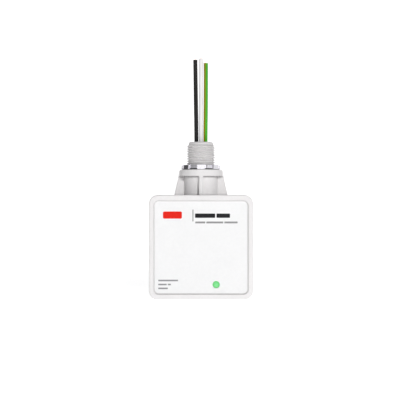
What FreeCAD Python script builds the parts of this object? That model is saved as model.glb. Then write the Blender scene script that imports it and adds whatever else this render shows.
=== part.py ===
import FreeCAD, Part
import math
import os
from FreeCAD import Vector

# Whole house surge protector: a moulded box that hangs from a half-inch conduit nipple on its top.
# X is across the front, Y runs from the front (-Y) to the rear (+Y), and Z is up. The origin is under
# the middle of the box. All sizes are in millimetres.

# ---- Driving dimensions ----
BOX_WIDTH = 75.5
BOX_HEIGHT = 76.0
BOX_DEPTH = 50.0
BOX_CORNER = 6.5
BOX_EDGE = 1.0
WALL = 2.6
OVERLAP = 1.0

RECESS_WIDTH = 69.3
RECESS_HEIGHT = 68.7
RECESS_CORNER = 4.2
RECESS_DEPTH = 1.2
RECESS_SLOPE = 0.95
LABEL_THICKNESS = 0.25
LABEL_MARGIN = 0.2

COVER_THICKNESS = 2.5
GASKET_THICKNESS = 0.6
GASKET_INSET = 0.7
LIP_DEPTH = 2.5
LIP_WALL = 1.4
LIP_GAP = 0.25
RATING_LABEL_WIDTH = 46.0
RATING_LABEL_HEIGHT = 30.0
RATING_LABEL_CORNER = 2.0
RATING_LABEL_DEPTH = 0.3

COVER_SCREW_INSET = 5.9
COVER_BOSS_RADIUS = 3.3
COVER_SCREW_RADIUS = 1.45
COVER_SCREW_LENGTH = 12.0
COVER_SCREW_RECESS = 1.6
SCREW_HOLE_FLOOR = 1.0
SCREW_HEAD_RADIUS = 2.9
SCREW_HEAD_SINK = 0.2
SCREW_GAP = 0.05

THREAD_PITCH = 25.4 / 14
THREAD_CREST_RADIUS = 10.5
THREAD_ROOT_RADIUS = 9.35
THREAD_CREST_WIDTH = 0.3
THREAD_BASE_WIDTH = 1.35
THREAD_RELIEF = 2.2
THREAD_RELIEF_RADIUS = 9.2
THREAD_PHASE_HEIGHT = 0.1
THREAD_TOOL_REACH = 0.1
THREAD_RUN_OUT = 0.3 * THREAD_PITCH
SEAM_TURNS = (100.0, 65.0, 37.0)
MOST_CUT = 0.7
LEAST_CUT = 0.95
NIPPLE_LENGTH = 20.6
NIPPLE_BORE_RADIUS = 6.25
TIP_BAND_HEIGHT = 2.2
TIP_RADIUS = 8.5
TIP_CHAMFER_HEIGHT = 1.0
CREST_CHAMFER_HEIGHT = 0.6

COLLAR_RADIUS = 12.55
COLLAR_HEIGHT = 14.0
COLLAR_BORE_RADIUS = 9.6
COLLAR_ROOF = 1.0
FLANGE_HEIGHT = 4.7
FLANGE_TOP_RADIUS = 15.4
FLANGE_BASE_RADIUS = 16.0
EAR_TOP_REACH = 16.25
EAR_BASE_REACH = 16.8
FLANGE_EDGE = 0.5
EAR_HALF_WIDTH = 2.0
EAR_EDGE = 0.7
EAR_CORNER = 0.8
RIB_THICKNESS = 3.2
RIB_SPREAD = 3.15
RIB_EDGE = 0.7

WASHER_THICKNESS = 1.0
WASHER_RADIUS = 12.8
WASHER_BORE_RADIUS = 10.75

NUT_THICKNESS = 2.7
NUT_RADIUS = 12.8
NUT_BORE_RADIUS = 9.6
NUT_MOUTH_RADIUS = 11.0
NUT_MOUTH_DEPTH = 0.9
NUT_THREAD_GAP = 0.12
NUT_FLANK_GAP = 0.15
NUT_LUG_COUNT = 7
NUT_LUG_RADIUS = 14.5
NUT_LUG_HALF_ANGLE = 13.0
NUT_LUG_TAPER = 0.85
NUT_LUG_DROP = 0.7
NUT_LUG_TOP_STEP = 0.25
NUT_LUG_GAP = 0.3
NUT_EDGE = 0.35

LEAD_RADIUS = 1.55
CONDUCTOR_RADIUS = 1.0
CONDUCTOR_GAP = 0.05
CONDUCTOR_PROUD = 0.3
LEAD_START = 90.3
STRIPPED_LENGTH = 5.0
SEAL_BOTTOM = 91.2
SEAL_SINK = 1.5
FIT_GAP = 0.05

BOARD_WIDTH = 58.0
BOARD_HEIGHT = 58.0
BOARD_THICKNESS = 1.6
BOARD_STANDOFF = 7.8
BOARD_CORNER_CUT = 5.0
BOARD_BOSS_X = 24.5
BOARD_BOSS_Z = 24.5
BOARD_BOSS_RADIUS = 2.8
BOARD_SCREW_RADIUS = 1.1
BOARD_SCREW_LENGTH = 6.0
BOARD_SCREW_HEAD_RADIUS = 2.2
BOARD_SCREW_HEAD = 1.6
BOARD_SCREW_ROUNDING = 0.8
BOARD_SCREW_RECESS = 1.2
PIN_RADIUS = 0.4
PIN_TAIL = 1.2
PIN_BITE = 0.3
SHEET_MARGIN = 13.0
SHEET_THICKNESS = 0.4
SHEET_CORNER = 3.0

LED_X = 11.0
LED_Z = 11.0
LED_RADIUS = 2.5
LED_RIM_RADIUS = 2.9
LED_RIM_HEIGHT = 1.0
LED_LENGTH = 8.7
LED_PROUD = 0.55
LED_HOLE_GAP = 0.15
LED_LEAD_RADIUS = 0.25
LED_LEAD_HALF_SPAN = 1.27

TERMINAL_WIDTH = 2.4
TERMINAL_STRIP = 0.8
TERMINAL_LEG_SIDE = 0.8
TERMINAL_LEG_BITE = 0.5
BARREL_RADIUS = 1.45
BARREL_LENGTH = 4.6
BARREL_FLOOR = 0.3
SOCKET_GAP = 0.03

VARISTOR_RADIUS = 10.3
VARISTOR_THICKNESS = 5.2
VARISTOR_STANDOFF = 1.6
VARISTOR_LEAD_SPREAD = 3.75
VARISTOR_ROUNDING = 1.6
VARISTOR_XS = {"line_neutral": -19.5, "line_ground": -9.5, "neutral_ground": 0.5}

FUSE_X = 12.5
FUSE_RADIUS = 2.5
FUSE_LENGTH = 20.0
FUSE_CAP = 5.5
FUSE_CAP_WALL = 0.4
FUSE_HEIGHT = 4.2

CAPACITOR_X = 22.25
CAPACITOR_WIDTH = 7.5
CAPACITOR_LENGTH = 18.0
CAPACITOR_HEIGHT = 14.0
CAPACITOR_EDGE = 0.6
CAPACITOR_LEAD_SPREAD = 7.5
CAPACITOR_LEAD_REACH = 1.0

# ---- Places worked out from them ----
FRONT = -BOX_DEPTH / 2
REAR = BOX_DEPTH / 2
MIDDLE = BOX_HEIGHT / 2
RECESS_FLOOR = FRONT + RECESS_DEPTH
INNER_FRONT = RECESS_FLOOR + WALL
COVER_FRONT = REAR - COVER_THICKNESS
RIM = COVER_FRONT - GASKET_THICKNESS
LIP_END = COVER_FRONT - LIP_DEPTH
INNER_WIDTH = BOX_WIDTH - 2 * WALL
INNER_HEIGHT = BOX_HEIGHT - 2 * WALL
INNER_CORNER = BOX_CORNER - WALL

FLANGE_BASE = BOX_HEIGHT + COLLAR_HEIGHT
FLANGE_TOP = FLANGE_BASE + FLANGE_HEIGHT
NIPPLE_TIP = FLANGE_TOP + NIPPLE_LENGTH
NUT_BOTTOM = FLANGE_TOP + WASHER_THICKNESS
NUT_TOP = NUT_BOTTOM + NUT_THICKNESS
RIDGE_PHASE = FLANGE_TOP + THREAD_PHASE_HEIGHT
SEAL_TOP = NIPPLE_TIP - SEAL_SINK

BOARD_FRONT = INNER_FRONT + BOARD_STANDOFF
BOARD_REAR = BOARD_FRONT + BOARD_THICKNESS
TERMINAL_FOOT = MIDDLE + 20.0
VARISTOR_Z = MIDDLE + 3.0
FUSE_Z = MIDDLE + 4.0
COVER_SCREW_X = BOX_WIDTH / 2 - COVER_SCREW_INSET
COVER_SCREW_Z = BOX_HEIGHT / 2 - COVER_SCREW_INSET
CORNERS = [(1, 1), (-1, 1), (-1, -1), (1, -1)]


# ---- Shape helpers ----
def box(x0, x1, y0, y1, z0, z1):
    """Block between two corners."""
    return Part.makeBox(x1 - x0, y1 - y0, z1 - z0, Vector(x0, y0, z0))


def rod_x(x0, x1, y, z, radius):
    """Cylinder along X."""
    return Part.makeCylinder(radius, x1 - x0, Vector(x0, y, z), Vector(1, 0, 0))


def rod_y(x, z, radius, y0, y1):
    """Cylinder along Y."""
    return Part.makeCylinder(radius, y1 - y0, Vector(x, y0, z), Vector(0, 1, 0))


def rod_z(x, y, radius, z0, z1):
    """Cylinder along Z."""
    return Part.makeCylinder(radius, z1 - z0, Vector(x, y, z0), Vector(0, 0, 1))


def cone_z(radius_low, radius_high, z0, z1):
    """Truncated cone about the Z axis."""
    return Part.makeCone(radius_low, radius_high, z1 - z0, Vector(0, 0, z0), Vector(0, 0, 1))


def rounded_outline(width, height, radius, y, middle=MIDDLE):
    """Rounded rectangle in the plane at y, centred at x = 0 and z = middle."""
    reach_x = width / 2 - radius
    reach_z = height / 2 - radius
    edges = []
    for index, (side_x, side_z) in enumerate(CORNERS):
        centre = Vector(side_x * reach_x, y, middle + side_z * reach_z)
        start_angle = index * math.pi / 2
        points = []
        for step in range(3):
            angle = start_angle + step * math.pi / 4
            points.append(centre + Vector(radius * math.cos(angle), 0, radius * math.sin(angle)))
        if edges:
            edges.append(Part.makeLine(edges[-1].lastVertex().Point, points[0]))
        edges.append(Part.Arc(*points).toShape())
    edges.append(Part.makeLine(edges[-1].lastVertex().Point, edges[0].firstVertex().Point))
    return Part.Wire(edges)


def rounded_prism(width, height, radius, y0, y1, middle=MIDDLE):
    """Rounded rectangle pulled along Y."""
    face = Part.Face(rounded_outline(width, height, radius, y0, middle))
    return face.extrude(Vector(0, y1 - y0, 0))


def edges_at(shape, axis, value):
    """Edges that lie whole in the plane where one coordinate has the given value."""
    found = []
    for edge in shape.Edges:
        limits = edge.BoundBox
        low = (limits.XMin, limits.YMin, limits.ZMin)[axis]
        high = (limits.XMax, limits.YMax, limits.ZMax)[axis]
        if abs(low - value) < 1e-4 and abs(high - value) < 1e-4:
            found.append(edge)
    return found


def joined(*shapes):
    """Shapes fused to one."""
    result = shapes[0]
    for shape in shapes[1:]:
        result = result.fuse(shape)
    return result


def without(shape, *tools):
    """Shape with each tool cut out of it."""
    for tool in tools:
        shape = shape.cut(tool)
    return shape


def save(node, *shapes, merge_faces=True):
    """Write a node's solids to its STEP file."""
    solids = []
    for shape in shapes:
        solids.extend((shape.removeSplitter() if merge_faces else shape).Solids)
    shape = solids[0] if len(solids) == 1 else Part.makeCompound(solids)
    assert all(solid.isValid() for solid in solids), node
    shape.exportStep(f"parts/{node}.step")
    volume = sum(solid.Volume for solid in solids)
    print(f"{node}: {len(solids)} solid(s), {volume:.1f} mm3")


# ---- Thread ----
def ridge_width(radius):
    """Width of the nipple's thread ridge at a radius."""
    share = (THREAD_CREST_RADIUS - radius) / (THREAD_CREST_RADIUS - THREAD_ROOT_RADIUS)
    return THREAD_CREST_WIDTH + share * (THREAD_BASE_WIDTH - THREAD_CREST_WIDTH)


def helical_tool(inner_radius, inner_width, outer_radius, outer_width, start, end):
    """Right-hand helical bar of four-sided section, whose middle is at height start where x is positive."""
    helix = Part.makeHelix(THREAD_PITCH, end - start, inner_radius)
    helix.translate(Vector(0, 0, start))
    corners = [
        Vector(inner_radius, 0, start - inner_width / 2),
        Vector(outer_radius, 0, start - outer_width / 2),
        Vector(outer_radius, 0, start + outer_width / 2),
        Vector(inner_radius, 0, start + inner_width / 2),
    ]
    section = Part.makePolygon(corners + corners[:1])
    return Part.Wire(helix).makePipeShell([section], True, True)


def thread_cut(blank, groove):
    """Round blank with a thread's groove cut in it. Its seams are turned until the cut succeeds."""
    for seam_turn in SEAM_TURNS:
        turned = blank.copy()
        turned.rotate(Vector(0, 0, 0), Vector(0, 0, 1), seam_turn)
        threaded = turned.cut(groove)
        share = threaded.Volume / blank.Volume
        print(f"thread leaves {share:.3f} of its blank at {seam_turn:.0f} degrees")
        if MOST_CUT < share < LEAST_CUT and threaded.isValid():
            return threaded
    raise ValueError("the thread was not cut")


def threaded_nipple():
    """Nipple above the flange: right-hand thread between a relief and the plain band of its tip."""
    relief_top = FLANGE_TOP + THREAD_RELIEF
    band_start = NIPPLE_TIP - TIP_BAND_HEIGHT
    crest_end = band_start - CREST_CHAMFER_HEIGHT
    chamfer_start = NIPPLE_TIP - TIP_CHAMFER_HEIGHT
    blank = joined(
        rod_z(0, 0, THREAD_RELIEF_RADIUS, FLANGE_TOP - OVERLAP, relief_top),
        rod_z(0, 0, THREAD_CREST_RADIUS, relief_top, crest_end),
        cone_z(THREAD_CREST_RADIUS, THREAD_RELIEF_RADIUS, crest_end, band_start),
        rod_z(0, 0, THREAD_RELIEF_RADIUS, band_start, chamfer_start),
        cone_z(THREAD_RELIEF_RADIUS, TIP_RADIUS, chamfer_start, NIPPLE_TIP))
    beyond = THREAD_CREST_RADIUS + THREAD_TOOL_REACH
    groove = helical_tool(
        THREAD_ROOT_RADIUS, THREAD_PITCH - ridge_width(THREAD_ROOT_RADIUS),
        beyond, THREAD_PITCH - ridge_width(beyond),
        RIDGE_PHASE + THREAD_PITCH / 2, band_start + THREAD_RUN_OUT)
    bore = rod_z(0, 0, NIPPLE_BORE_RADIUS, FLANGE_TOP - OVERLAP, NIPPLE_TIP)
    return thread_cut(blank, groove).cut(bore)


# ---- Housing and covers ----
def flange():
    """Round seat for the conduit knockout, with an ear over each side rib."""
    disc = cone_z(FLANGE_BASE_RADIUS, FLANGE_TOP_RADIUS, FLANGE_BASE, FLANGE_TOP)
    disc = disc.makeFillet(FLANGE_EDGE, edges_at(disc, 2, FLANGE_TOP))
    outline = Part.makePolygon([
        Vector(-EAR_BASE_REACH, -EAR_HALF_WIDTH, FLANGE_BASE),
        Vector(EAR_BASE_REACH, -EAR_HALF_WIDTH, FLANGE_BASE),
        Vector(EAR_TOP_REACH, -EAR_HALF_WIDTH, FLANGE_TOP - EAR_EDGE),
        Vector(EAR_TOP_REACH - EAR_EDGE, -EAR_HALF_WIDTH, FLANGE_TOP),
        Vector(EAR_EDGE - EAR_TOP_REACH, -EAR_HALF_WIDTH, FLANGE_TOP),
        Vector(-EAR_TOP_REACH, -EAR_HALF_WIDTH, FLANGE_TOP - EAR_EDGE),
        Vector(-EAR_BASE_REACH, -EAR_HALF_WIDTH, FLANGE_BASE),
    ])
    ears = Part.Face(outline).extrude(Vector(0, 2 * EAR_HALF_WIDTH, 0))
    upright = []
    for edge in ears.Edges:
        limits = edge.BoundBox
        if limits.ZLength > 1 and limits.YLength < 0.01:
            upright.append(edge)
    return disc.fuse(ears.makeFillet(EAR_CORNER, upright))


def collar_rib(top_reach, angle):
    """Tapered rib that stands on the box and ends under the flange."""
    half = RIB_THICKNESS / 2
    outline = Part.makePolygon([
        Vector(0, -half, BOX_HEIGHT - OVERLAP),
        Vector(top_reach + RIB_SPREAD, -half, BOX_HEIGHT - OVERLAP),
        Vector(top_reach + RIB_SPREAD, -half, BOX_HEIGHT),
        Vector(top_reach, -half, FLANGE_BASE),
        Vector(0, -half, FLANGE_BASE),
        Vector(0, -half, BOX_HEIGHT - OVERLAP),
    ])
    rib = Part.Face(outline).extrude(Vector(0, RIB_THICKNESS, 0))
    outer_edges = []
    for edge in rib.Edges:
        limits = edge.BoundBox
        if limits.ZLength > COLLAR_HEIGHT / 2 and limits.XMin > 1:
            outer_edges.append(edge)
    rib = rib.makeFillet(RIB_EDGE, outer_edges)
    rib.rotate(Vector(0, 0, 0), Vector(0, 0, 1), angle)
    return rib


def housing():
    """Box with its recessed front, the collar, flange and nipple on top, and the bosses inside."""
    shell = rounded_prism(BOX_WIDTH, BOX_HEIGHT, BOX_CORNER, FRONT, RIM)
    shell = shell.makeFillet(BOX_EDGE, edges_at(shell, 1, FRONT))
    shell = joined(
        shell,
        rod_z(0, 0, COLLAR_RADIUS, BOX_HEIGHT - OVERLAP, FLANGE_BASE),
        collar_rib(EAR_BASE_REACH, 0), collar_rib(EAR_BASE_REACH, 180),
        collar_rib(FLANGE_BASE_RADIUS, 90), collar_rib(FLANGE_BASE_RADIUS, 270),
        flange())

    recess = Part.makeLoft([
        rounded_outline(RECESS_WIDTH, RECESS_HEIGHT, RECESS_CORNER, FRONT),
        rounded_outline(
            RECESS_WIDTH - 2 * RECESS_SLOPE, RECESS_HEIGHT - 2 * RECESS_SLOPE,
            RECESS_CORNER - RECESS_SLOPE, RECESS_FLOOR),
    ], True)
    cavity = rounded_prism(INNER_WIDTH, INNER_HEIGHT, INNER_CORNER, INNER_FRONT, RIM)
    shell = without(
        shell, recess, cavity,
        rod_z(0, 0, COLLAR_BORE_RADIUS, BOX_HEIGHT - WALL - OVERLAP, FLANGE_BASE - COLLAR_ROOF),
        rod_z(0, 0, NIPPLE_BORE_RADIUS, FLANGE_BASE - COLLAR_ROOF - OVERLAP, FLANGE_TOP),
        rod_y(LED_X, LED_Z, LED_RADIUS + LED_HOLE_GAP, FRONT, INNER_FRONT))

    screw_hole_end = COVER_FRONT - COVER_SCREW_LENGTH
    for side_x, side_z in CORNERS:
        x = side_x * COVER_SCREW_X
        z = MIDDLE + side_z * COVER_SCREW_Z
        shell = shell.fuse(rod_y(x, z, COVER_BOSS_RADIUS, INNER_FRONT - OVERLAP, RIM))
        shell = shell.cut(rod_y(x, z, COVER_SCREW_RADIUS + SCREW_GAP, screw_hole_end, RIM))
        x = side_x * BOARD_BOSS_X
        z = MIDDLE + side_z * BOARD_BOSS_Z
        shell = shell.fuse(rod_y(x, z, BOARD_BOSS_RADIUS, INNER_FRONT - OVERLAP, BOARD_FRONT))
        hole_start = INNER_FRONT + SCREW_HOLE_FLOOR
        shell = shell.cut(rod_y(x, z, BOARD_SCREW_RADIUS + SCREW_GAP, hole_start, BOARD_FRONT))
    return shell.removeSplitter().fuse(threaded_nipple())


def face_label():
    """Printed label that fills the floor of the front recess."""
    width = RECESS_WIDTH - 2 * RECESS_SLOPE - 2 * LABEL_MARGIN
    height = RECESS_HEIGHT - 2 * RECESS_SLOPE - 2 * LABEL_MARGIN
    corner = RECESS_CORNER - RECESS_SLOPE - LABEL_MARGIN
    sheet = rounded_prism(width, height, corner, RECESS_FLOOR - LABEL_THICKNESS, RECESS_FLOOR)
    hole = rod_y(LED_X, LED_Z, LED_RADIUS + LED_HOLE_GAP, FRONT, RECESS_FLOOR)
    return sheet.cut(hole)


def screw_cone(x, z, rear, grow):
    """Space of one countersunk head, wider by grow all round."""
    depth = SCREW_HEAD_RADIUS - COVER_SCREW_RADIUS
    return Part.makeCone(
        COVER_SCREW_RADIUS + grow, SCREW_HEAD_RADIUS + grow, depth,
        Vector(x, rear - depth, z), Vector(0, 1, 0))


def rear_cover():
    """Plate that closes the back, with a lip inside the walls and countersunk screw holes."""
    plate = rounded_prism(BOX_WIDTH, BOX_HEIGHT, BOX_CORNER, COVER_FRONT, REAR)
    plate = plate.makeFillet(BOX_EDGE, edges_at(plate, 1, REAR))
    lip_width = INNER_WIDTH - 2 * LIP_GAP
    lip_height = INNER_HEIGHT - 2 * LIP_GAP
    lip_corner = INNER_CORNER - LIP_GAP
    lip = rounded_prism(lip_width, lip_height, lip_corner, LIP_END, COVER_FRONT)
    lip = lip.cut(rounded_prism(
        lip_width - 2 * LIP_WALL, lip_height - 2 * LIP_WALL, lip_corner - LIP_WALL, LIP_END, COVER_FRONT))
    for side_x, side_z in CORNERS:
        x = side_x * COVER_SCREW_X
        z = MIDDLE + side_z * COVER_SCREW_Z
        lip = lip.cut(rod_y(x, z, COVER_BOSS_RADIUS + 2 * LIP_GAP, LIP_END, COVER_FRONT))
    plate = plate.fuse(lip)
    for side_x, side_z in CORNERS:
        x = side_x * COVER_SCREW_X
        z = MIDDLE + side_z * COVER_SCREW_Z
        plate = plate.cut(rod_y(x, z, COVER_SCREW_RADIUS + 2 * SCREW_GAP, COVER_FRONT, REAR))
        plate = plate.cut(screw_cone(x, z, REAR - SCREW_HEAD_SINK, 2 * SCREW_GAP))
        sink_radius = SCREW_HEAD_RADIUS + 2 * SCREW_GAP
        plate = plate.cut(rod_y(x, z, sink_radius, REAR - SCREW_HEAD_SINK, REAR))
    pocket = rounded_prism(
        RATING_LABEL_WIDTH, RATING_LABEL_HEIGHT, RATING_LABEL_CORNER, REAR - RATING_LABEL_DEPTH, REAR)
    return plate.cut(pocket)


def cover_gasket():
    """Flat ring between the walls' rim and the rear cover."""
    ring = rounded_prism(
        BOX_WIDTH - 2 * GASKET_INSET, BOX_HEIGHT - 2 * GASKET_INSET, BOX_CORNER - GASKET_INSET,
        RIM, COVER_FRONT)
    return ring.cut(rounded_prism(INNER_WIDTH, INNER_HEIGHT, INNER_CORNER, RIM, COVER_FRONT))


def cross_recess(x, z, surface, size):
    """Cross-shaped driver recess in a head that faces +Y."""
    narrow = size / 4
    upright = box(x - narrow, x + narrow, surface - size / 2, surface, z - size, z + size)
    level = box(x - size, x + size, surface - size / 2, surface, z - narrow, z + narrow)
    return upright.fuse(level)


def cover_screws():
    """Countersunk screws that hold the rear cover."""
    screws = []
    surface = REAR - SCREW_HEAD_SINK
    for side_x, side_z in CORNERS:
        x = side_x * COVER_SCREW_X
        z = MIDDLE + side_z * COVER_SCREW_Z
        head_base = surface - (SCREW_HEAD_RADIUS - COVER_SCREW_RADIUS)
        shaft_start = COVER_FRONT - COVER_SCREW_LENGTH + SCREW_HOLE_FLOOR
        screw = rod_y(x, z, COVER_SCREW_RADIUS, shaft_start, head_base)
        screw = screw.fuse(screw_cone(x, z, surface, 0))
        screws.append(screw.cut(cross_recess(x, z, surface, COVER_SCREW_RECESS)))
    return screws


# ---- Washer and locknut ----
def sealing_washer():
    """Flat rubber ring bonded under the locknut."""
    ring = rod_z(0, 0, WASHER_RADIUS, FLANGE_TOP, NUT_BOTTOM)
    return ring.cut(rod_z(0, 0, WASHER_BORE_RADIUS, FLANGE_TOP, NUT_BOTTOM))


def nut_sector(inner, outer, inner_half, outer_half, middle, z0, z1):
    """Block between two radii, straight-sided, with a half angle at each."""
    corners = []
    for radius, turn in (
            (outer, -outer_half), (outer, outer_half), (inner, inner_half), (inner, -inner_half)):
        angle = middle + turn
        corners.append(Vector(radius * math.cos(angle), radius * math.sin(angle), z0))
    return Part.Face(Part.makePolygon(corners + corners[:1])).extrude(Vector(0, 0, z1 - z0))


def threaded_ring():
    """Locknut's round body with its thread."""
    ring = rod_z(0, 0, NUT_RADIUS, NUT_BOTTOM, NUT_TOP)
    ring = ring.makeFillet(NUT_EDGE, edges_at(ring, 2, NUT_TOP))
    ring = ring.cut(rod_z(0, 0, NUT_BORE_RADIUS, NUT_BOTTOM, NUT_TOP))
    for height, outward in ((NUT_BOTTOM, -1), (NUT_TOP, 1)):
        ring = ring.cut(Part.makeCone(
            NUT_BORE_RADIUS, NUT_MOUTH_RADIUS, NUT_MOUTH_DEPTH,
            Vector(0, 0, height - outward * NUT_MOUTH_DEPTH), Vector(0, 0, outward)))
    inner = NUT_BORE_RADIUS - THREAD_TOOL_REACH
    outer = THREAD_CREST_RADIUS + NUT_THREAD_GAP
    groove = helical_tool(
        inner, ridge_width(inner) + 2 * NUT_FLANK_GAP,
        outer, THREAD_CREST_WIDTH + 2 * NUT_FLANK_GAP,
        RIDGE_PHASE - THREAD_PITCH, NUT_TOP + 2 * THREAD_PITCH)
    return thread_cut(ring, groove)


def locknut():
    """Conduit locknut: threaded ring with driving lugs that reach down past its rim."""
    nut = threaded_ring()
    lug_bottom = NUT_BOTTOM - NUT_LUG_DROP
    lug_top = NUT_TOP - NUT_LUG_TOP_STEP
    half = math.radians(NUT_LUG_HALF_ANGLE)
    tip_half = NUT_LUG_TAPER * half
    step_radius = (WASHER_RADIUS + NUT_LUG_GAP) / math.cos(half)
    for index in range(NUT_LUG_COUNT):
        middle = -math.pi / 2 + index * 2 * math.pi / NUT_LUG_COUNT
        lug = nut_sector(step_radius, NUT_LUG_RADIUS, half, tip_half, middle, lug_bottom, lug_top)
        bridge = nut_sector(
            NUT_RADIUS - OVERLAP, step_radius + NUT_LUG_GAP, half, half, middle, NUT_BOTTOM, lug_top)
        nut = joined(nut, lug, bridge)
    return nut


# ---- Leads ----
LINE_ROUTE = [(-3.3, 0.0, LEAD_START), (-3.3, 0.0, 118.0), (-3.85, 0.5, 150.0), (-4.2, 0.7, 176.7)]
NEUTRAL_ROUTE = [(0.0, 0.0, LEAD_START), (0.0, 0.0, 118.0), (0.1, -0.4, 150.0), (0.15, -0.5, 177.4)]
GROUND_ROUTE = [(3.3, 0.0, LEAD_START), (3.3, 0.0, 118.0), (3.75, 0.3, 148.0), (3.7, 0.9, 174.3)]


def route_wire(name, route):
    """Straight runs joined by the largest tangent arcs that they allow."""
    points = [Vector(*point) for point in route]
    edges = []
    start = points[0]
    for before, corner, after in zip(points, points[1:], points[2:]):
        back = (before - corner).normalize()
        ahead = (after - corner).normalize()
        turn = math.pi - back.getAngle(ahead)
        tangent = 0.45 * min((before - corner).Length, (after - corner).Length)
        radius = tangent / math.tan(turn / 2)
        print(f"{name}: bend radius {radius:.0f} mm, turn {math.degrees(turn):.2f} degrees")
        first = corner + back * tangent
        last = corner + ahead * tangent
        inward = (back + ahead).normalize()
        middle = corner + inward * (radius / math.cos(turn / 2) - radius)
        edges.append(Part.makeLine(start, first))
        edges.append(Part.Arc(first, middle, last).toShape())
        start = last
    edges.append(Part.makeLine(start, points[-1]))
    return Part.Wire(edges)


def swept_rod(path, start, radius):
    """Round bar along a path that leaves its start upward."""
    circle = Part.Wire(Part.makeCircle(radius, start, Vector(0, 0, 1)))
    rod = path.makePipeShell([circle], True, False)
    print(f"  swept volume {rod.Volume:.1f}, section by length {math.pi * radius ** 2 * path.Length:.1f}")
    return rod


def lead(name, route):
    """Insulation and conductor of one lead. The conductor is bare below and stands proud at the cut end."""
    path = route_wire(name, route)
    start = Vector(*route[0])
    insulation = swept_rod(path, start, LEAD_RADIUS)
    insulation = insulation.cut(swept_rod(path, start, CONDUCTOR_RADIUS + CONDUCTOR_GAP))
    stripped = rod_z(start.x, start.y, CONDUCTOR_RADIUS, LEAD_START - STRIPPED_LENGTH, LEAD_START)
    end = Vector(*route[-1])
    along = (end - Vector(*route[-2])).normalize()
    proud = Part.makeCylinder(CONDUCTOR_RADIUS, CONDUCTOR_PROUD, end, along)
    conductor = joined(swept_rod(path, start, CONDUCTOR_RADIUS), stripped, proud)
    return insulation, conductor


def wire_seal():
    """Plug that fills the nipple's bore round the three leads."""
    plug = rod_z(0, 0, NIPPLE_BORE_RADIUS - FIT_GAP, SEAL_BOTTOM, SEAL_TOP)
    for route in (LINE_ROUTE, NEUTRAL_ROUTE, GROUND_ROUTE):
        x, y, _ = route[0]
        plug = plug.cut(rod_z(x, y, LEAD_RADIUS + FIT_GAP, SEAL_BOTTOM, SEAL_TOP))
    return plug


# ---- Board and what stands on it ----
BOARD_HOLES = []


def pin(x, z, reach):
    """Component lead from the solder side of the board to a height above the component side."""
    BOARD_HOLES.append((x, z))
    return rod_y(x, z, PIN_RADIUS, BOARD_FRONT - PIN_TAIL, BOARD_REAR + reach)


def terminal(x):
    """Brass terminal: a strip from the board up into the collar, ending in a crimp barrel."""
    half = TERMINAL_WIDTH / 2
    barrel_bottom = LEAD_START - STRIPPED_LENGTH - BARREL_FLOOR
    barrel = rod_z(x, 0, BARREL_RADIUS, barrel_bottom, barrel_bottom + BARREL_LENGTH)
    bend = -TERMINAL_STRIP / 2
    strip = box(x - half, x + half, bend, -bend, TERMINAL_FOOT, barrel_bottom)
    foot = box(x - half, x + half, BOARD_REAR, -bend, TERMINAL_FOOT, TERMINAL_FOOT + TERMINAL_STRIP)
    leg_z = TERMINAL_FOOT + TERMINAL_STRIP / 2
    legs = [pin(x + side * TERMINAL_LEG_SIDE, leg_z, TERMINAL_LEG_BITE) for side in (-1, 1)]
    body = joined(barrel, strip, foot, *legs)
    socket = rod_z(x, 0, CONDUCTOR_RADIUS + SOCKET_GAP, LEAD_START - STRIPPED_LENGTH, LEAD_START)
    return body.cut(socket)


def varistor(x):
    """Coated disc that stands on edge across the board."""
    half = VARISTOR_THICKNESS / 2
    middle = BOARD_REAR + VARISTOR_STANDOFF + VARISTOR_RADIUS
    disc = rod_x(x - half, x + half, middle, VARISTOR_Z, VARISTOR_RADIUS)
    rims = edges_at(disc, 0, x - half) + edges_at(disc, 0, x + half)
    return disc.makeFillet(VARISTOR_ROUNDING, rims)


def varistor_leads():
    """Pairs of leads under the discs."""
    leads = []
    for x in VARISTOR_XS.values():
        for side in (-1, 1):
            leads.append(pin(x, VARISTOR_Z + side * VARISTOR_LEAD_SPREAD, VARISTOR_STANDOFF + PIN_BITE))
    return leads


def standing_loop(x, z0, z1, height):
    """Lead wire that rises from the board at z0, runs level and goes down again at z1."""
    low, high = sorted((z0, z1))
    level = rod_z(x, BOARD_REAR + height, PIN_RADIUS, low, high)
    return joined(pin(x, low, height), pin(x, high, height), level)


def axial_part(x, z, radius, length, height, reach):
    """Round component that lies along Z above the board, with its bent leads."""
    body = rod_z(x, BOARD_REAR + height, radius, z - length / 2, z + length / 2)
    rims = edges_at(body, 2, z - length / 2) + edges_at(body, 2, z + length / 2)
    body = body.makeFillet(radius / 4, rims)
    wire = standing_loop(x, z - reach, z + reach, height)
    return body.cut(wire), wire


def line_fuse():
    """Tube fuse: its glass and its two soldered end caps."""
    axis = BOARD_REAR + FUSE_HEIGHT
    half = FUSE_LENGTH / 2
    glass_half = half - OVERLAP
    glass = rod_z(FUSE_X, axis, FUSE_RADIUS - FUSE_CAP_WALL, FUSE_Z - glass_half, FUSE_Z + glass_half)
    caps = []
    for side in (-1, 1):
        low, high = sorted((FUSE_Z + side * (half - FUSE_CAP), FUSE_Z + side * half))
        cap = rod_z(FUSE_X, axis, FUSE_RADIUS, low, high)
        leg = pin(FUSE_X, (low + high) / 2, FUSE_HEIGHT - FUSE_RADIUS + PIN_BITE)
        caps.append(cap.fuse(leg).cut(glass))
    return glass, caps


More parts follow.
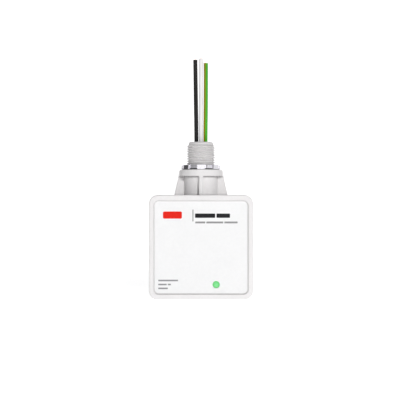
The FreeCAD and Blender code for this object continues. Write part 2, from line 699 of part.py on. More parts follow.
def film_capacitor():
    """Box capacitor on the board's right side, and its two leads."""
    half_width = CAPACITOR_WIDTH / 2
    half_length = CAPACITOR_LENGTH / 2
    top = BOARD_REAR + CAPACITOR_HEIGHT
    case = box(
        CAPACITOR_X - half_width, CAPACITOR_X + half_width, BOARD_REAR, top,
        MIDDLE - half_length, MIDDLE + half_length)
    case = case.makeFillet(CAPACITOR_EDGE, edges_at(case, 1, top))
    leads = []
    for side in (-1, 1):
        leads.append(pin(CAPACITOR_X, MIDDLE + side * CAPACITOR_LEAD_SPREAD, CAPACITOR_LEAD_REACH))
    return case.cut(joined(*leads)), leads


def indicator_led():
    """Round green lamp whose dome stands in the label's hole, and its two leads."""
    tip = RECESS_FLOOR - LABEL_THICKNESS - LED_PROUD
    base = tip + LED_LENGTH
    body = rod_y(LED_X, LED_Z, LED_RADIUS, tip + LED_RADIUS, base)
    dome = Part.makeSphere(LED_RADIUS, Vector(LED_X, tip + LED_RADIUS, LED_Z))
    rim = rod_y(LED_X, LED_Z, LED_RIM_RADIUS, base - LED_RIM_HEIGHT, base)
    lamp = joined(body, dome, rim)
    leads = []
    for side in (-1, 1):
        x = LED_X + side * LED_LEAD_HALF_SPAN
        BOARD_HOLES.append((x, LED_Z))
        leads.append(rod_y(x, LED_Z, LED_LEAD_RADIUS, base - LED_RIM_HEIGHT, BOARD_REAR + PIN_TAIL))
    return lamp.cut(joined(*leads)), leads


def board_screws():
    """Round-headed screws that hold the board on its bosses."""
    screws = []
    for side_x, side_z in CORNERS:
        x = side_x * BOARD_BOSS_X
        z = MIDDLE + side_z * BOARD_BOSS_Z
        head_top = BOARD_REAR + BOARD_SCREW_HEAD
        screw = rod_y(x, z, BOARD_SCREW_HEAD_RADIUS, BOARD_REAR, head_top)
        screw = screw.makeFillet(BOARD_SCREW_ROUNDING, edges_at(screw, 1, head_top))
        screw = screw.fuse(rod_y(x, z, BOARD_SCREW_RADIUS, BOARD_REAR - BOARD_SCREW_LENGTH, BOARD_REAR))
        screws.append(screw.cut(cross_recess(x, z, head_top, BOARD_SCREW_RECESS)))
    return screws


def circuit_board():
    """Board with cut corners, screw holes and a hole for each lead."""
    half_width = BOARD_WIDTH / 2
    half_height = BOARD_HEIGHT / 2
    cut = BOARD_CORNER_CUT
    corners = []
    for x, z in (
            (half_width - cut, -half_height), (half_width, cut - half_height),
            (half_width, half_height - cut), (half_width - cut, half_height),
            (cut - half_width, half_height), (-half_width, half_height - cut),
            (-half_width, cut - half_height), (cut - half_width, -half_height)):
        corners.append(Vector(x, BOARD_FRONT, MIDDLE + z))
    board = Part.Face(Part.makePolygon(corners + corners[:1])).extrude(Vector(0, BOARD_THICKNESS, 0))
    for side_x, side_z in CORNERS:
        x = side_x * BOARD_BOSS_X
        z = MIDDLE + side_z * BOARD_BOSS_Z
        board = board.cut(rod_y(x, z, BOARD_SCREW_RADIUS + 2 * SCREW_GAP, BOARD_FRONT, BOARD_REAR))
    for x, z in BOARD_HOLES:
        board = board.cut(rod_y(x, z, PIN_RADIUS + SCREW_GAP, BOARD_FRONT, BOARD_REAR))
    return board


def build():
    """Write every node."""
    os.makedirs("parts", exist_ok=True)
    save("housing", housing(), merge_faces=False)
    save("face_label", face_label())
    save("rear_cover", rear_cover())
    save("cover_gasket", cover_gasket())
    save("cover_screws", *cover_screws())
    save("rating_label", rounded_prism(
        RATING_LABEL_WIDTH - 2 * LABEL_MARGIN, RATING_LABEL_HEIGHT - 2 * LABEL_MARGIN,
        RATING_LABEL_CORNER - LABEL_MARGIN, REAR - RATING_LABEL_DEPTH, REAR - SCREW_GAP))
    save("sealing_washer", sealing_washer())
    save("locknut", locknut(), merge_faces=False)
    save("wire_seal", wire_seal())

    for name, route in (("line", LINE_ROUTE), ("neutral", NEUTRAL_ROUTE), ("ground", GROUND_ROUTE)):
        insulation, conductor = lead(name, route)
        save(f"{name}_lead", insulation)
        save(f"{name}_conductor", conductor)
        save(f"{name}_terminal", terminal(route[0][0]))

    leads = varistor_leads()
    for pair, x in VARISTOR_XS.items():
        save(f"varistor_{pair}", varistor(x).cut(joined(*leads)))
    save("varistor_leads", *leads)
    glass, caps = line_fuse()
    save("fuse_tube", glass)
    save("fuse_caps", *caps)
    case, capacitor_leads = film_capacitor()
    save("film_capacitor", case)
    save("capacitor_leads", *capacitor_leads)
    for part_name, x, z, radius, length, height, reach in (
            ("thermal_cutoff", -14.5, VARISTOR_Z, 2.0, 9.5, 14.0, 7.5),
            ("dropping_resistor", -10.0, MIDDLE - 19.0, 1.6, 7.5, 1.9, 6.0),
            ("rectifier_diode", 0.0, MIDDLE - 19.0, 1.35, 5.0, 1.7, 5.0)):
        body, wire = axial_part(x, z, radius, length, height, reach)
        save(part_name, body)
        save(f"{part_name}_lead", wire)
    lamp, lamp_leads = indicator_led()
    save("indicator_led", lamp)
    save("led_leads", *lamp_leads)
    save("board_screws", *board_screws())
    save("circuit_board", circuit_board())
    save("insulating_sheet", rounded_prism(
        INNER_WIDTH - SHEET_MARGIN, INNER_HEIGHT - 3 * LIP_WALL, SHEET_CORNER,
        LIP_END - SHEET_THICKNESS, LIP_END))


build()
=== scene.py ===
import bmesh
import bpy
import math
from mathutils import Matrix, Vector


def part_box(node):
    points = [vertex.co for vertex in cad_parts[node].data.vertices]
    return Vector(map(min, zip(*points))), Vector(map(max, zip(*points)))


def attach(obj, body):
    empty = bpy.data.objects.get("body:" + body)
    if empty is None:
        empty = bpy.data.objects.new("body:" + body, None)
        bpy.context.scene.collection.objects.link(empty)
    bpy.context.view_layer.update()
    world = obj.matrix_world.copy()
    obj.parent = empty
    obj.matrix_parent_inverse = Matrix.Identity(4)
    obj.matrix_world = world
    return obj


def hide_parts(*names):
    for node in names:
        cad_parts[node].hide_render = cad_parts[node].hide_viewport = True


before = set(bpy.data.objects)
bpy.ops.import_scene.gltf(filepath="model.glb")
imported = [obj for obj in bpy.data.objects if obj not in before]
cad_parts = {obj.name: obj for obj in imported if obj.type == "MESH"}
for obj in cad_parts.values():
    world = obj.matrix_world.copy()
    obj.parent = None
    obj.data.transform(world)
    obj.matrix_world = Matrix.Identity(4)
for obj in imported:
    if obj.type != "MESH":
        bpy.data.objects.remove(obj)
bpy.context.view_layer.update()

# Lengths are in metres, and a quarter turn is in degrees.
MM = 0.001
MICRON = 0.000001
QUARTER_TURN = 90
SCENE = bpy.context.scene
ENCLOSURE = "enclosure"

# ---- Camera: level, square to the front, about 0.8 m from the nipple's axis ----
CAMERA_DISTANCE = 0.820
CAMERA_HEIGHT = 0.0723
CAMERA_SIDE = -0.0007
CAMERA_LENS = 99.0
SENSOR_WIDTH = 36.0


def make_camera():
    """Camera that looks along +Y with no tilt."""
    data = bpy.data.cameras.new("camera")
    data.lens = CAMERA_LENS
    data.sensor_width = SENSOR_WIDTH
    data.clip_start = 0.05
    data.clip_end = 50.0
    camera = bpy.data.objects.new("camera", data)
    SCENE.collection.objects.link(camera)
    camera.location = (CAMERA_SIDE, -CAMERA_DISTANCE, CAMERA_HEIGHT)
    camera.rotation_euler = (math.pi / 2, 0, 0)
    SCENE.camera = camera


make_camera()


# ---- Material helpers ----
class Nodes:
    """A material's node tree, with short calls for the nodes used here. A given material is taken further."""

    def __init__(self, name, material=None):
        self.material = material or bpy.data.materials.new(name)
        self.material.use_nodes = True
        self.tree = self.material.node_tree
        self.shader = self.tree.nodes["Principled BSDF"]
        self.position = self.tree.nodes.new("ShaderNodeTexCoord").outputs["Object"]

    def link(self, output, target):
        """Join an output socket to an input socket."""
        self.tree.links.new(output, target)

    def set(self, **values):
        """Uniform values on the shader's own sockets."""
        for name, value in values.items():
            self.shader.inputs[name.replace("_", " ")].default_value = value

    def scaled(self, scale):
        """Object position multiplied by a scale for each axis."""
        mapping = self.tree.nodes.new("ShaderNodeMapping")
        mapping.inputs["Scale"].default_value = scale
        self.link(self.position, mapping.inputs["Vector"])
        return mapping.outputs["Vector"]

    def noise(self, scale, detail=2.0, stretch=(1, 1, 1)):
        """Noise whose features are about 1 / scale metres across."""
        node = self.tree.nodes.new("ShaderNodeTexNoise")
        node.inputs["Scale"].default_value = scale
        node.inputs["Detail"].default_value = detail
        self.link(self.scaled(stretch), node.inputs["Vector"])
        return node.outputs["Fac"]

    def ramp(self, factor, low, high, start=0.35, end=0.65):
        """Colour or grey that runs from low to high as the factor goes from start to end."""
        node = self.tree.nodes.new("ShaderNodeValToRGB")
        elements = node.color_ramp.elements
        for element, place, value in ((elements[0], start, low), (elements[1], end, high)):
            element.position = place
            element.color = (*value, 1) if isinstance(value, tuple) else (value, value, value, 1)
        self.link(factor, node.inputs["Fac"])
        return node.outputs["Color"]

    def mix(self, factor, first, second, kind="MIX"):
        """Two colours mixed. Each is a socket or a colour, and the factor is a socket or a number."""
        node = self.tree.nodes.new("ShaderNodeMix")
        node.data_type = "RGBA"
        node.blend_type = kind
        for value, socket in ((factor, node.inputs[0]), (first, node.inputs[6]), (second, node.inputs[7])):
            if isinstance(value, (float, int)):
                socket.default_value = value
            elif isinstance(value, tuple):
                socket.default_value = (*value, 1)
            else:
                self.link(value, socket)
        return node.outputs[2]

    def math(self, operation, first, second):
        """Function of two values, such as their product. Each is a socket or a number."""
        node = self.tree.nodes.new("ShaderNodeMath")
        node.operation = operation
        for value, socket in ((first, node.inputs[0]), (second, node.inputs[1])):
            if isinstance(value, (float, int)):
                socket.default_value = value
            else:
                self.link(value, socket)
        return node.outputs[0]

    def bump(self, height, depth, strength=1.0, before=None):
        """Surface relief of a depth in metres, on top of another relief if one is given."""
        node = self.tree.nodes.new("ShaderNodeBump")
        node.inputs["Strength"].default_value = strength
        node.inputs["Distance"].default_value = depth
        self.link(height, node.inputs["Height"])
        if before is not None:
            self.link(before, node.inputs["Normal"])
        return node.outputs["Normal"]

    def base_colour(self):
        """The socket that gives the shader its colour so far."""
        return self.shader.inputs["Base Color"].links[0].from_socket

    def split_position(self):
        """Position's X, Y and Z."""
        split = self.tree.nodes.new("ShaderNodeSeparateXYZ")
        self.link(self.position, split.inputs[0])
        return [split.outputs[axis] for axis in "XYZ"]

    def colour(self, output):
        """Drive the shader's base colour."""
        self.link(output, self.shader.inputs["Base Color"])

    def roughness(self, output):
        """Drive the shader's roughness."""
        self.link(output, self.shader.inputs["Roughness"])

    def normal(self, output):
        """Drive the shader's normal."""
        self.link(output, self.shader.inputs["Normal"])


def shade(colour, factor):
    """Colour multiplied by a factor."""
    return tuple(min(1.0, channel * factor) for channel in colour)


def moulded_plastic(name, colour):
    """Satin moulded plastic: flow mottling, fine spark-eroded grain and slight dust in the gloss."""
    nodes = Nodes(name)
    cloud = nodes.noise(38.0, 3.0)
    speck = nodes.noise(900.0, 2.0)
    base = nodes.ramp(cloud, shade(colour, 0.975), shade(colour, 1.015))
    nodes.colour(nodes.mix(0.35, base, nodes.ramp(speck, shade(colour, 0.96), shade(colour, 1.02))))
    nodes.roughness(nodes.ramp(nodes.noise(160.0, 4.0), 0.44, 0.58))
    grain = nodes.bump(nodes.noise(2600.0, 2.0), 6 * MICRON, 0.5)
    nodes.normal(nodes.bump(nodes.noise(90.0, 2.0), 20 * MICRON, 0.25, grain))
    nodes.set(IOR=1.3, Specular_IOR_Level=0.3)
    return nodes.material


def printed_film(name, colour, rough=(0.3, 0.42), gloss=0.3):
    """Smooth label stock with a faint pebble and uneven ink."""
    nodes = Nodes(name)
    cloud = nodes.noise(60.0, 4.0)
    fibre = nodes.noise(420.0, 3.0)
    base = nodes.ramp(cloud, shade(colour, 0.985), shade(colour, 1.01))
    nodes.colour(nodes.mix(0.3, base, nodes.ramp(fibre, shade(colour, 0.96), shade(colour, 1.02))))
    nodes.roughness(nodes.ramp(nodes.noise(240.0, 2.0), *rough))
    nodes.normal(nodes.bump(nodes.noise(1400.0, 2.0), 8 * MICRON, 0.5))
    nodes.set(IOR=1.4, Specular_IOR_Level=gloss)
    return nodes.material


def rubber(name, colour):
    """Matt rubber with fine grain and pale dust."""
    nodes = Nodes(name)
    grain = nodes.noise(1800.0, 3.0)
    nodes.colour(nodes.ramp(grain, shade(colour, 0.7), shade(colour, 1.5)))
    nodes.roughness(nodes.ramp(nodes.noise(300.0, 2.0), 0.62, 0.82))
    nodes.normal(nodes.bump(grain, 30 * MICRON, 0.6))
    return nodes.material


def metal(name, colour, rough=(0.2, 0.36), stretch=(1, 1, 1), relief=10 * MICRON, tarnish=0.14):
    """Bright metal with drawn or tumbled marks and a slight tarnish."""
    nodes = Nodes(name)
    marks = nodes.noise(700.0, 4.0, stretch)
    base = nodes.ramp(nodes.noise(120.0, 4.0), shade(colour, 1 - tarnish), shade(colour, 1 + tarnish / 2))
    nodes.colour(nodes.mix(0.3, base, nodes.ramp(marks, shade(colour, 0.8), shade(colour, 1.08))))
    nodes.roughness(nodes.ramp(marks, *rough))
    nodes.normal(nodes.bump(marks, relief, 0.5))
    nodes.set(Metallic=1.0)
    return nodes.material


def wire_jacket(name, colour, streak):
    """Extruded insulation's nodes: faint die lines along the wire and slight waxy smears."""
    nodes = Nodes(name)
    lines = nodes.noise(1500.0, 2.0, (1, 1, 0.015))
    smear = nodes.noise(220.0, 3.0, (1, 1, 0.2))
    base = nodes.ramp(lines, colour, streak)
    nodes.colour(nodes.mix(0.3, base, nodes.ramp(smear, shade(colour, 0.85), shade(streak, 1.1))))
    nodes.roughness(nodes.ramp(smear, 0.34, 0.46))
    nodes.normal(nodes.bump(lines, 10 * MICRON, 0.4))
    nodes.set(IOR=1.25, Specular_IOR_Level=0.12)
    return nodes


def stranded_copper():
    """Fine copper strands that run along Z: painted shade in the gaps between them, and drawn marks along
    them.
    """
    nodes = Nodes("copper_strand")
    strands = nodes.tree.nodes.new("ShaderNodeTexVoronoi")
    strands.inputs["Scale"].default_value = 2600.0
    strands.inputs["Randomness"].default_value = 0.3
    nodes.link(nodes.scaled((1, 1, 0.02)), strands.inputs["Vector"])
    from_centre = strands.outputs["Distance"]
    # Painted shade in the gaps between the strands.
    strand = nodes.ramp(from_centre, STRAND, STRAND_GAP_PAINTED_SHADE, 0.30, 0.62)
    wear = nodes.ramp(nodes.noise(500.0, 3.0, (1, 1, 0.1)), *STRAND_WEAR_PAIR)
    nodes.colour(nodes.mix(0.35, strand, wear))
    nodes.roughness(nodes.ramp(from_centre, 0.2, 0.5, 0.2, 0.7))
    nodes.normal(nodes.bump(nodes.math("SUBTRACT", 1.0, from_centre), 100 * MICRON, 0.7))
    nodes.set(Metallic=1.0)
    return nodes.material


def glossy(name, colour):
    """Dipped or lacquered coating with orange peel."""
    nodes = Nodes(name)
    peel = nodes.noise(500.0, 2.0)
    nodes.colour(nodes.ramp(nodes.noise(150.0, 3.0), shade(colour, 0.85), shade(colour, 1.12)))
    nodes.roughness(nodes.ramp(peel, 0.12, 0.25))
    nodes.normal(nodes.bump(peel, 50 * MICRON, 0.4))
    return nodes.material


# ---- Leads: size and routes ----
LEAD_DIAMETER = 3.1 * MM


def metres(points):
    """Route points in millimetres as metres."""
    return [tuple(value * MM for value in point) for point in points]


LINE_ROUTE = metres([(-3.3, 0.0, 90.3), (-3.3, 0.0, 118.0), (-3.85, 0.5, 150.0), (-4.2, 0.7, 176.7)])
NEUTRAL_ROUTE = metres([(0.0, 0.0, 90.3), (0.0, 0.0, 118.0), (0.1, -0.4, 150.0), (0.15, -0.5, 177.4)])
GROUND_ROUTE = metres([(3.3, 0.0, 90.3), (3.3, 0.0, 118.0), (3.75, 0.3, 148.0), (3.7, 0.9, 174.3)])


# ---- Colours: a pair is the two that a material varies between ----
HOUSING_GREY = (0.79, 0.775, 0.775)
COVER_GREY = (0.78, 0.765, 0.765)
LABEL_WHITE = (0.835, 0.835, 0.837)
RATING_GREY = (0.66, 0.66, 0.67)
SHEET_BUFF = (0.5, 0.48, 0.42)
GASKET_BLACK = (0.05, 0.05, 0.05)
WASHER_BLACK = (0.025, 0.025, 0.027)
SEALANT_GREY = (0.2, 0.2, 0.205)
BLACK_PAIR = (0.016, 0.0152, 0.0152), (0.030, 0.0285, 0.0285)
WHITE_PAIR = (0.78, 0.765, 0.77), (0.84, 0.825, 0.83)
GREEN_PAIR = (0.055, 0.34, 0.025), (0.08, 0.42, 0.04)
YELLOW_PAIR = (0.235, 0.20, 0.003), (0.28, 0.24, 0.006)
GLOW_MIDDLE = (0.25, 0.86, 0.32)
GLOW_RIM = (0.23, 0.88, 0.29)
LENS_PAIR = (0.11, 0.40, 0.14), (0.15, 0.47, 0.19)
STRAND = (0.90, 0.50, 0.31)
STRAND_GAP_PAINTED_SHADE = (0.30, 0.13, 0.07)
STRAND_WEAR_PAIR = (0.80, 0.40, 0.24), (0.92, 0.52, 0.33)
RED_INK = (0.74, 0.02, 0.01)
DIVIDER_INK = (0.19, 0.19, 0.19)
TITLE_INK = (0.018, 0.018, 0.02)
SUBTITLE_INK = (0.29, 0.29, 0.29)
CAPTION_INK = (0.29, 0.29, 0.295)


# ---- Housing: painted shade, greyer in the places that little light reaches ----
# Each painted shade multiplies the housing's colour.
NIPPLE_PAINTED_SHADE = 0.86
RECESS_PAINTED_SHADE = 0.87
FLANGE_PAINTED_SHADOW = 0.71
FOOT_PAINTED_SHADE = 0.80
RECESS_REACH = 1.6 * MM
CORNER_REACH = 1.4 * MM
FLANGE_HEIGHT = 4.7 * MM
FRONT_RIB_HALF = 1.7 * MM
HAIR = 0.01 * MM
LABEL_LOW, LABEL_HIGH = (Vector(corner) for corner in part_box("face_label"))
LABEL_MIDDLE = (LABEL_LOW + LABEL_HIGH) / 2
# The recess's painted shade reaches this far from the label's middle, a little past the recess's sloped wall.
RECESS_HALF_WIDTH = LABEL_HIGH.x - LABEL_MIDDLE.x + RECESS_REACH
RECESS_HALF_HEIGHT = LABEL_HIGH.z - LABEL_MIDDLE.z + RECESS_REACH
BOX_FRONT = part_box("housing")[0][1]
# The washer lies on the flange, and the rear cover is as high as the box, on which the collar stands.
FLANGE_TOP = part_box("sealing_washer")[0][2]
FLANGE_BASE = FLANGE_TOP - FLANGE_HEIGHT
COLLAR_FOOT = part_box("rear_cover")[1][2]


def housing_material():
    """Housing plastic with painted shade: greyer on the nipple and recess wall, a painted shadow under the
    flange and painted shade at the collar's foot.
    """
    material = moulded_plastic("housing_plastic", HOUSING_GREY)
    nodes = Nodes("housing_plastic", material)
    x, y, z = nodes.split_position()
    colour = nodes.base_colour()

    # Painted shade on the nipple, standing in for the shading in its thread's grooves.
    on_nipple = nodes.math("GREATER_THAN", z, FLANGE_TOP)
    colour = nodes.mix(on_nipple, colour, (NIPPLE_PAINTED_SHADE,) * 3, "MULTIPLY")

    # Painted shade on the recess's sloped wall around the label.
    across = nodes.math("DIVIDE", nodes.math("ABSOLUTE", x, 0.0), RECESS_HALF_WIDTH)
    height = nodes.math("SUBTRACT", z, LABEL_MIDDLE.z)
    height = nodes.math("DIVIDE", nodes.math("ABSOLUTE", height, 0.0), RECESS_HALF_HEIGHT)
    inside = nodes.math("LESS_THAN", nodes.math("MAXIMUM", across, height), 1.0)
    sunk = nodes.math("GREATER_THAN", y, BOX_FRONT + 10 * HAIR)
    in_recess = nodes.math("MULTIPLY", inside, sunk)
    colour = nodes.mix(in_recess, colour, (RECESS_PAINTED_SHADE,) * 3, "MULTIPLY")

    # Painted shadow on the collar and ribs just under the flange, where the flange's shadow falls.
    beside_rib = nodes.math("GREATER_THAN", nodes.math("ABSOLUTE", x, 0.0), FRONT_RIB_HALF)
    below = nodes.math("LESS_THAN", z, FLANGE_BASE + HAIR)
    drop = nodes.math("DIVIDE", nodes.math("SUBTRACT", FLANGE_BASE, z), CORNER_REACH)
    near_flange = nodes.math("MULTIPLY", nodes.ramp(drop, 1.0, 0.0, 0.35, 1.0), below)
    under_flange = nodes.math("MULTIPLY", near_flange, beside_rib)
    colour = nodes.mix(under_flange, colour, (FLANGE_PAINTED_SHADOW,) * 3, "MULTIPLY")

    # Painted shade at the collar's foot, where it meets the box.
    on_collar = nodes.math("GREATER_THAN", z, COLLAR_FOOT + HAIR)
    rise = nodes.math("DIVIDE", nodes.math("SUBTRACT", z, COLLAR_FOOT), CORNER_REACH)
    at_foot = nodes.math("MULTIPLY", nodes.ramp(rise, 1.0, 0.0, 0.2, 1.0), on_collar)
    nodes.colour(nodes.mix(at_foot, colour, (FOOT_PAINTED_SHADE,) * 3, "MULTIPLY"))
    return material


# ---- Lamp, striped lead, glass and board ----
LAMP_RADIUS = 2.5 * MM
LAMP_GLOW = 0.41


def lens_material():
    """Lit green lamp: tinted lens that glows all over, a little purer green toward its rim."""
    nodes = Nodes("led_lens")
    low, high = (Vector(corner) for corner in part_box("indicator_led"))
    middle = (low + high) / 2
    offset = nodes.tree.nodes.new("ShaderNodeVectorMath")
    offset.operation = "DISTANCE"
    nodes.link(nodes.scaled((1, 0, 1)), offset.inputs[0])
    offset.inputs[1].default_value = (middle.x, 0, middle.z)
    from_middle = nodes.math("DIVIDE", offset.outputs["Value"], LAMP_RADIUS)
    glow = nodes.ramp(from_middle, GLOW_MIDDLE, GLOW_RIM, 0.35, 0.95)
    swirl = nodes.noise(900.0, 2.0)
    nodes.colour(nodes.ramp(swirl, *LENS_PAIR))
    nodes.link(glow, nodes.shader.inputs["Emission Color"])
    nodes.set(Emission_Strength=LAMP_GLOW, IOR=1.5, Specular_IOR_Level=0.3)
    nodes.roughness(nodes.ramp(swirl, 0.1, 0.2))
    return nodes.material


# The stripe ends between these shares of the lead's width, from its left side.
STRIPE_EDGE = (0.40, 0.44)


def striped_jacket():
    """Green insulation with a yellow stripe down its left side, which follows the lead's lean."""
    nodes = wire_jacket("green_yellow_jacket", *GREEN_PAIR)
    x, _, z = nodes.split_position()
    start, end = GROUND_ROUTE[1:3]
    lean = (end[0] - start[0]) / (end[2] - start[2])
    rise = nodes.math("MAXIMUM", nodes.math("SUBTRACT", z, start[2]), 0.0)
    rise = nodes.math("MINIMUM", rise, end[2] - start[2])
    middle = nodes.math("ADD", nodes.math("MULTIPLY", rise, lean), start[0])
    across = nodes.math("DIVIDE", nodes.math("SUBTRACT", x, middle), LEAD_DIAMETER)
    stripe = nodes.ramp(nodes.math("ADD", across, 0.5), 1.0, 0.0, *STRIPE_EDGE)
    yellow = nodes.ramp(nodes.noise(1500.0, 2.0, (1, 1, 0.02)), *YELLOW_PAIR)
    nodes.colour(nodes.mix(stripe, nodes.base_colour(), yellow))
    return nodes.material


def glass():
    """Fuse tube's clear glass, with a faint green tint."""
    nodes = Nodes("fuse_glass")
    nodes.colour(nodes.ramp(nodes.noise(200.0, 2.0), (0.9, 0.95, 0.94), (0.97, 0.99, 0.99)))
    nodes.roughness(nodes.ramp(nodes.noise(300.0, 2.0), 0.02, 0.06))
    nodes.set(Transmission_Weight=0.9, IOR=1.5)
    return nodes.material


def laminate():
    """Circuit board: green solder resist over a woven glass core, with faint copper tracks."""
    nodes = Nodes("board_laminate")
    weave = nodes.tree.nodes.new("ShaderNodeTexChecker")
    weave.inputs["Scale"].default_value = 1600.0
    weave.inputs["Color1"].default_value = (0.03, 0.2, 0.07, 1)
    weave.inputs["Color2"].default_value = (0.035, 0.23, 0.08, 1)
    nodes.link(nodes.position, weave.inputs["Vector"])
    tracks = nodes.tree.nodes.new("ShaderNodeTexBrick")
    tracks.inputs["Scale"].default_value = 60.0
    tracks.inputs["Color1"].default_value = (0.05, 0.3, 0.1, 1)
    tracks.inputs["Color2"].default_value = (0.04, 0.26, 0.09, 1)
    tracks.inputs["Mortar"].default_value = (0.02, 0.13, 0.05, 1)
    turned = nodes.tree.nodes.new("ShaderNodeMapping")
    turned.inputs["Rotation"].default_value = (math.pi / 2, 0, 0)
    nodes.link(nodes.position, turned.inputs["Vector"])
    nodes.link(turned.outputs["Vector"], tracks.inputs["Vector"])
    nodes.colour(nodes.mix(0.4, weave.outputs["Color"], tracks.outputs["Color"]))
    nodes.roughness(nodes.ramp(nodes.noise(400.0, 2.0), 0.2, 0.34))
    nodes.normal(nodes.bump(tracks.outputs["Fac"], 40 * MICRON, 0.5))
    return nodes.material


# ---- New pieces ----
CURVE_ORDER = 3
CURVE_STEPS = 16
CURVE_ROUNDNESS = 8


def add_mesh(name, body, material):
    """New mesh object with no faces yet, which rides on a body."""
    mesh = bpy.data.meshes.new(name)
    piece = bpy.data.objects.new(name, mesh)
    SCENE.collection.objects.link(piece)
    mesh.materials.append(material)
    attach(piece, body)
    return piece


def fill(piece, form):
    """Put a form's faces in a piece, with normals outward, and free the form."""
    bmesh.ops.recalc_face_normals(form, faces=form.faces)
    form.to_mesh(piece.data)
    form.free()


def lead_curve(name, route, material, node):
    """One insulated lead along its route, which rides on the enclosure and hides the CAD lead it stands in
    for.
    """
    curve = bpy.data.curves.new(name, "CURVE")
    curve.dimensions = "3D"
    spline = curve.splines.new("NURBS")
    spline.points.add(len(route) - 1)
    for point, place in zip(spline.points, route):
        point.co = (*place, 1)
    spline.order_u = CURVE_ORDER
    spline.use_endpoint_u = True
    spline.resolution_u = CURVE_STEPS
    curve.bevel_depth = LEAD_DIAMETER / 2
    curve.bevel_resolution = CURVE_ROUNDNESS
    curve.use_fill_caps = True
    curve.materials.append(material)
    piece = bpy.data.objects.new(name, curve)
    SCENE.collection.objects.link(piece)
    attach(piece, ENCLOSURE)
    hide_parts(node)


BLACK = wire_jacket("black_jacket", *BLACK_PAIR).material
WHITE = wire_jacket("white_jacket", *WHITE_PAIR).material
STRIPED = striped_jacket()
LEADS = (
    ("line", LINE_ROUTE, BLACK, "black_insulation"),
    ("neutral", NEUTRAL_ROUTE, WHITE, "white_insulation"),
    ("ground", GROUND_ROUTE, STRIPED, "green_insulation"),
)
for lead_name, route, jacket, slot_name in LEADS:
    lead_curve(
        f"{lead_name}_insulation", route, jacket, f"{lead_name}_lead")


# ---- CAD nodes' materials ----
def dress(node, material):
    """Give a CAD node one material in all its slots."""
    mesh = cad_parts[node].data
    if not mesh.materials:
        mesh.materials.append(material)
    for index in range(len(mesh.materials)):
        mesh.materials[index] = material


ZINC = metal("zinc_plate", (0.80, 0.785, 0.83), (0.085, 0.105), relief=0.6 * MICRON, tarnish=0.02)
TINNED = metal("tinned_wire", (0.72, 0.72, 0.71), (0.25, 0.4))
COPPER = stranded_copper()
BRASS = metal("brass_strip", (0.83, 0.66, 0.33), (0.2, 0.36), (1, 1, 0.2))
SCREW_STEEL = metal("screw_zinc", (0.66, 0.66, 0.68), (0.24, 0.4))

DRESSING = {
    "housing": housing_material(),
    "rear_cover": moulded_plastic("cover_plastic", COVER_GREY),
    "cover_gasket": rubber("gasket_rubber", GASKET_BLACK),
    "cover_screws": SCREW_STEEL,
    "board_screws": SCREW_STEEL,
    "face_label": printed_film("label_film", LABEL_WHITE),
    "rating_label": printed_film("rating_film", RATING_GREY),
    "sealing_washer": rubber("washer_rubber", WASHER_BLACK),
    "locknut": ZINC,
    "wire_seal": rubber("seal_rubber", SEALANT_GREY),
    "indicator_led": lens_material(),
    "circuit_board": laminate(),
    "insulating_sheet": printed_film("fibre_sheet", SHEET_BUFF, (0.6, 0.8)),
    "fuse_tube": glass(),
    "fuse_caps": TINNED,
    "film_capacitor": glossy("capacitor_case", (0.62, 0.46, 0.06)),
    "thermal_cutoff": glossy("cutoff_case", (0.78, 0.75, 0.66)),
    "dropping_resistor": glossy("resistor_lacquer", (0.25, 0.42, 0.55)),
    "rectifier_diode": glossy("diode_body", (0.02, 0.02, 0.02)),
}
VARISTOR_BLUE = glossy("varistor_epoxy", (0.03, 0.1, 0.42))
for node_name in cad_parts:
    if node_name.startswith("varistor_") and node_name != "varistor_leads":
        DRESSING[node_name] = VARISTOR_BLUE
    elif node_name.endswith(("_leads", "_cutoff_lead", "_resistor_lead", "_diode_lead")):
        DRESSING[node_name] = TINNED
    elif node_name.endswith("_conductor"):
        DRESSING[node_name] = COPPER
    elif node_name.endswith("_terminal"):
        DRESSING[node_name] = BRASS
for node_name, material in DRESSING.items():
    dress(node_name, material)
for lead_name, _, jacket, _ in LEADS:
    dress(f"{lead_name}_lead", jacket)


# ---- Printed marks on the face label ----
INK_THICKNESS = 0.04 * MM
ARC_STEPS = 6


def rounded_bar(form, x0, x1, z0, z1, y_back, y_front, radius):
    """Thin upright plate with rounded corners, which faces -Y."""
    outline = []
    for side_x, side_z, start in ((1, 1, 0), (0, 1, 90), (0, 0, 180), (1, 0, 270)):
        centre_x = x1 - radius if side_x else x0 + radius
        centre_z = z1 - radius if side_z else z0 + radius
        for step in range(ARC_STEPS + 1):
            angle = math.radians(start + step * QUARTER_TURN / ARC_STEPS)
            outline.append((centre_x + radius * math.cos(angle), centre_z + radius * math.sin(angle)))
    front = [form.verts.new((x, y_front, z)) for x, z in outline]
    back = [form.verts.new((x, y_back, z)) for x, z in outline]
    form.faces.new(front)
    form.faces.new(list(reversed(back)))
    for index in range(len(outline)):
        after = (index + 1) % len(outline)
        form.faces.new((front[index], back[index], back[after], front[after]))


def print_marks(name, colour, bars, radius):
    """One colour of ink. A bar is left, right, low and high, in millimetres from the label's lower middle."""
    piece = add_mesh(name, ENCLOSURE, printed_film(f"{name}_ink", colour, (0.35, 0.5), 0.1))
    form = bmesh.new()
    for x0, x1, z0, z1 in bars:
        left, right = LABEL_MIDDLE.x + x0 * MM, LABEL_MIDDLE.x + x1 * MM
        low, high = LABEL_LOW.z + z0 * MM, LABEL_LOW.z + z1 * MM
        rounded_bar(form, left, right, low, high, LABEL_LOW.y, LABEL_LOW.y - INK_THICKNESS, radius * MM)
    fill(piece, form)


def word_bars(left, low, high, widths, gap):
    """Row of bars like the words of a line, each of its own width."""
    bars = []
    for width in widths:
        bars.append((left, left + width, low, high))
        left += width + gap
    return bars


CAPTION_LEFT = -30.9
CAPTION_HEIGHT = 1.1
WORD_GAP = 0.8
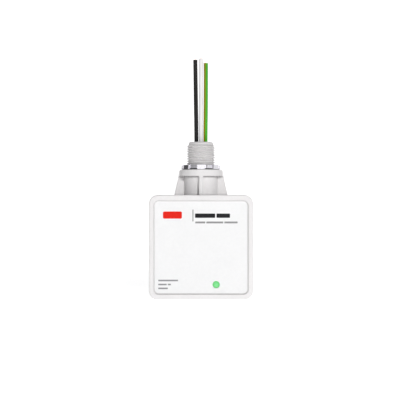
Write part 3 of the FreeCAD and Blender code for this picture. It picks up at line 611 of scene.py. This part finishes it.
# Each caption row is its lower edge and the widths of its words.
CAPTION_ROWS = ((8.7, (14.3,)), (5.8, (6.1, 2.2)), (3.0, (6.9,)))
caption_bars = []
for row_low, row_widths in CAPTION_ROWS:
    caption_bars.extend(word_bars(CAPTION_LEFT, row_low, row_low + CAPTION_HEIGHT, row_widths, WORD_GAP))

print_marks("red_mark", RED_INK, [(-27.5, -13.8, 54.0, 59.2)], 1.0)
print_marks("grey_divider", DIVIDER_INK, [(-6.1, -5.5, 52.0, 60.6)], 0.2)
print_marks("title_bars", TITLE_INK, word_bars(-4.3, 54.6, 57.7, (14.6, 9.8), 0.9), 0.5)
print_marks("subtitle_bars", SUBTITLE_INK, word_bars(-4.1, 50.6, 51.9, (7.2, 12.2, 9.6), WORD_GAP), 0.3)
print_marks("caption_bars", CAPTION_INK, caption_bars, 0.25)


# ---- Floor and backdrop ----
SWEEP_HALF_WIDTH = 3.0
SWEEP_FRONT = -3.0
BEND_START = 1.6
BEND_RADIUS = 0.8
BEND_STEPS = 12
SWEEP_TOP = 3.5
PAPER_GLOW = 0.55


def studio_material():
    """Pale matt paper with an even glow that takes out the last of the shadow on it."""
    nodes = Nodes("studio_paper")
    nodes.colour(nodes.ramp(nodes.noise(3.0, 2.0), 0.93, 0.95))
    nodes.roughness(nodes.ramp(nodes.noise(20.0, 2.0), 0.85, 0.95))
    nodes.set(Emission_Color=(1, 1, 1, 1), Emission_Strength=PAPER_GLOW)
    return nodes.material


def make_sweep():
    """Paper floor that curves up into a backdrop behind the object."""
    mesh = bpy.data.meshes.new("paper_sweep")
    form = bmesh.new()
    profile = [(SWEEP_FRONT, 0.0), (BEND_START, 0.0)]
    for step in range(1, BEND_STEPS + 1):
        angle = math.radians(step * QUARTER_TURN / BEND_STEPS)
        bend_y = BEND_START + BEND_RADIUS * math.sin(angle)
        bend_z = BEND_RADIUS - BEND_RADIUS * math.cos(angle)
        profile.append((bend_y, bend_z))
    profile.append((BEND_START + BEND_RADIUS, SWEEP_TOP))
    rows = []
    for x in (-SWEEP_HALF_WIDTH, SWEEP_HALF_WIDTH):
        rows.append([form.verts.new((x, y, z)) for y, z in profile])
    for index in range(len(profile) - 1):
        form.faces.new((rows[0][index], rows[1][index], rows[1][index + 1], rows[0][index + 1]))
    form.to_mesh(mesh)
    form.free()
    mesh.shade_smooth()
    mesh.materials.append(studio_material())
    sweep = bpy.data.objects.new("paper_sweep", mesh)
    SCENE.collection.objects.link(sweep)


# ---- Light ----
SURROUND_COLOUR = (0.97, 0.97, 1.0, 1)
SURROUND_STRENGTH = 0.09
OBJECT_MIDDLE = (0.0, 0.0, 0.08)
BACKDROP_MIDDLE = (0.0, BEND_START + BEND_RADIUS, 0.5)
# Each light is its name, place, target, width, height and power in watts.
LIGHTS = (
    ("key", (0.39, -1.84, 0.76), OBJECT_MIDDLE, 0.24, 0.24, 18.3),
    ("front", (0.5, -1.85, 0.35), OBJECT_MIDDLE, 1.5, 0.5, 3.0),
    ("fill", (-1.2, -1.05, 0.25), OBJECT_MIDDLE, 1.3, 0.5, 0.65),
    ("right", (1.55, -0.41, 0.3), OBJECT_MIDDLE, 2.2, 0.35, 2.3),
    ("top", (0.1, 0.1, 1.6), OBJECT_MIDDLE, 1.2, 1.2, 1.0),
    ("backdrop_wash", (0.0, 0.9, 1.9), BACKDROP_MIDDLE, 2.0, 2.0, 12.0),
)


def area_light(name, place, target, width, height, power):
    """Oblong soft box that points at a target."""
    data = bpy.data.lights.new(name, "AREA")
    data.shape = "RECTANGLE"
    data.size = width
    data.size_y = height
    data.energy = power
    light = bpy.data.objects.new(name, data)
    SCENE.collection.objects.link(light)
    light.location = place
    direction = Vector(target) - Vector(place)
    light.rotation_euler = direction.to_track_quat("-Z", "Y").to_euler()


def make_light():
    """Small key from the front right, broad light from the front and right, weak from above and left."""
    world = bpy.data.worlds.new("surround")
    world.use_nodes = True
    surround = world.node_tree.nodes["Background"]
    surround.inputs["Color"].default_value = SURROUND_COLOUR
    surround.inputs["Strength"].default_value = SURROUND_STRENGTH
    SCENE.world = world
    for light in LIGHTS:
        area_light(*light)
    SCENE.view_settings.view_transform = "Standard"


make_sweep()
make_light()
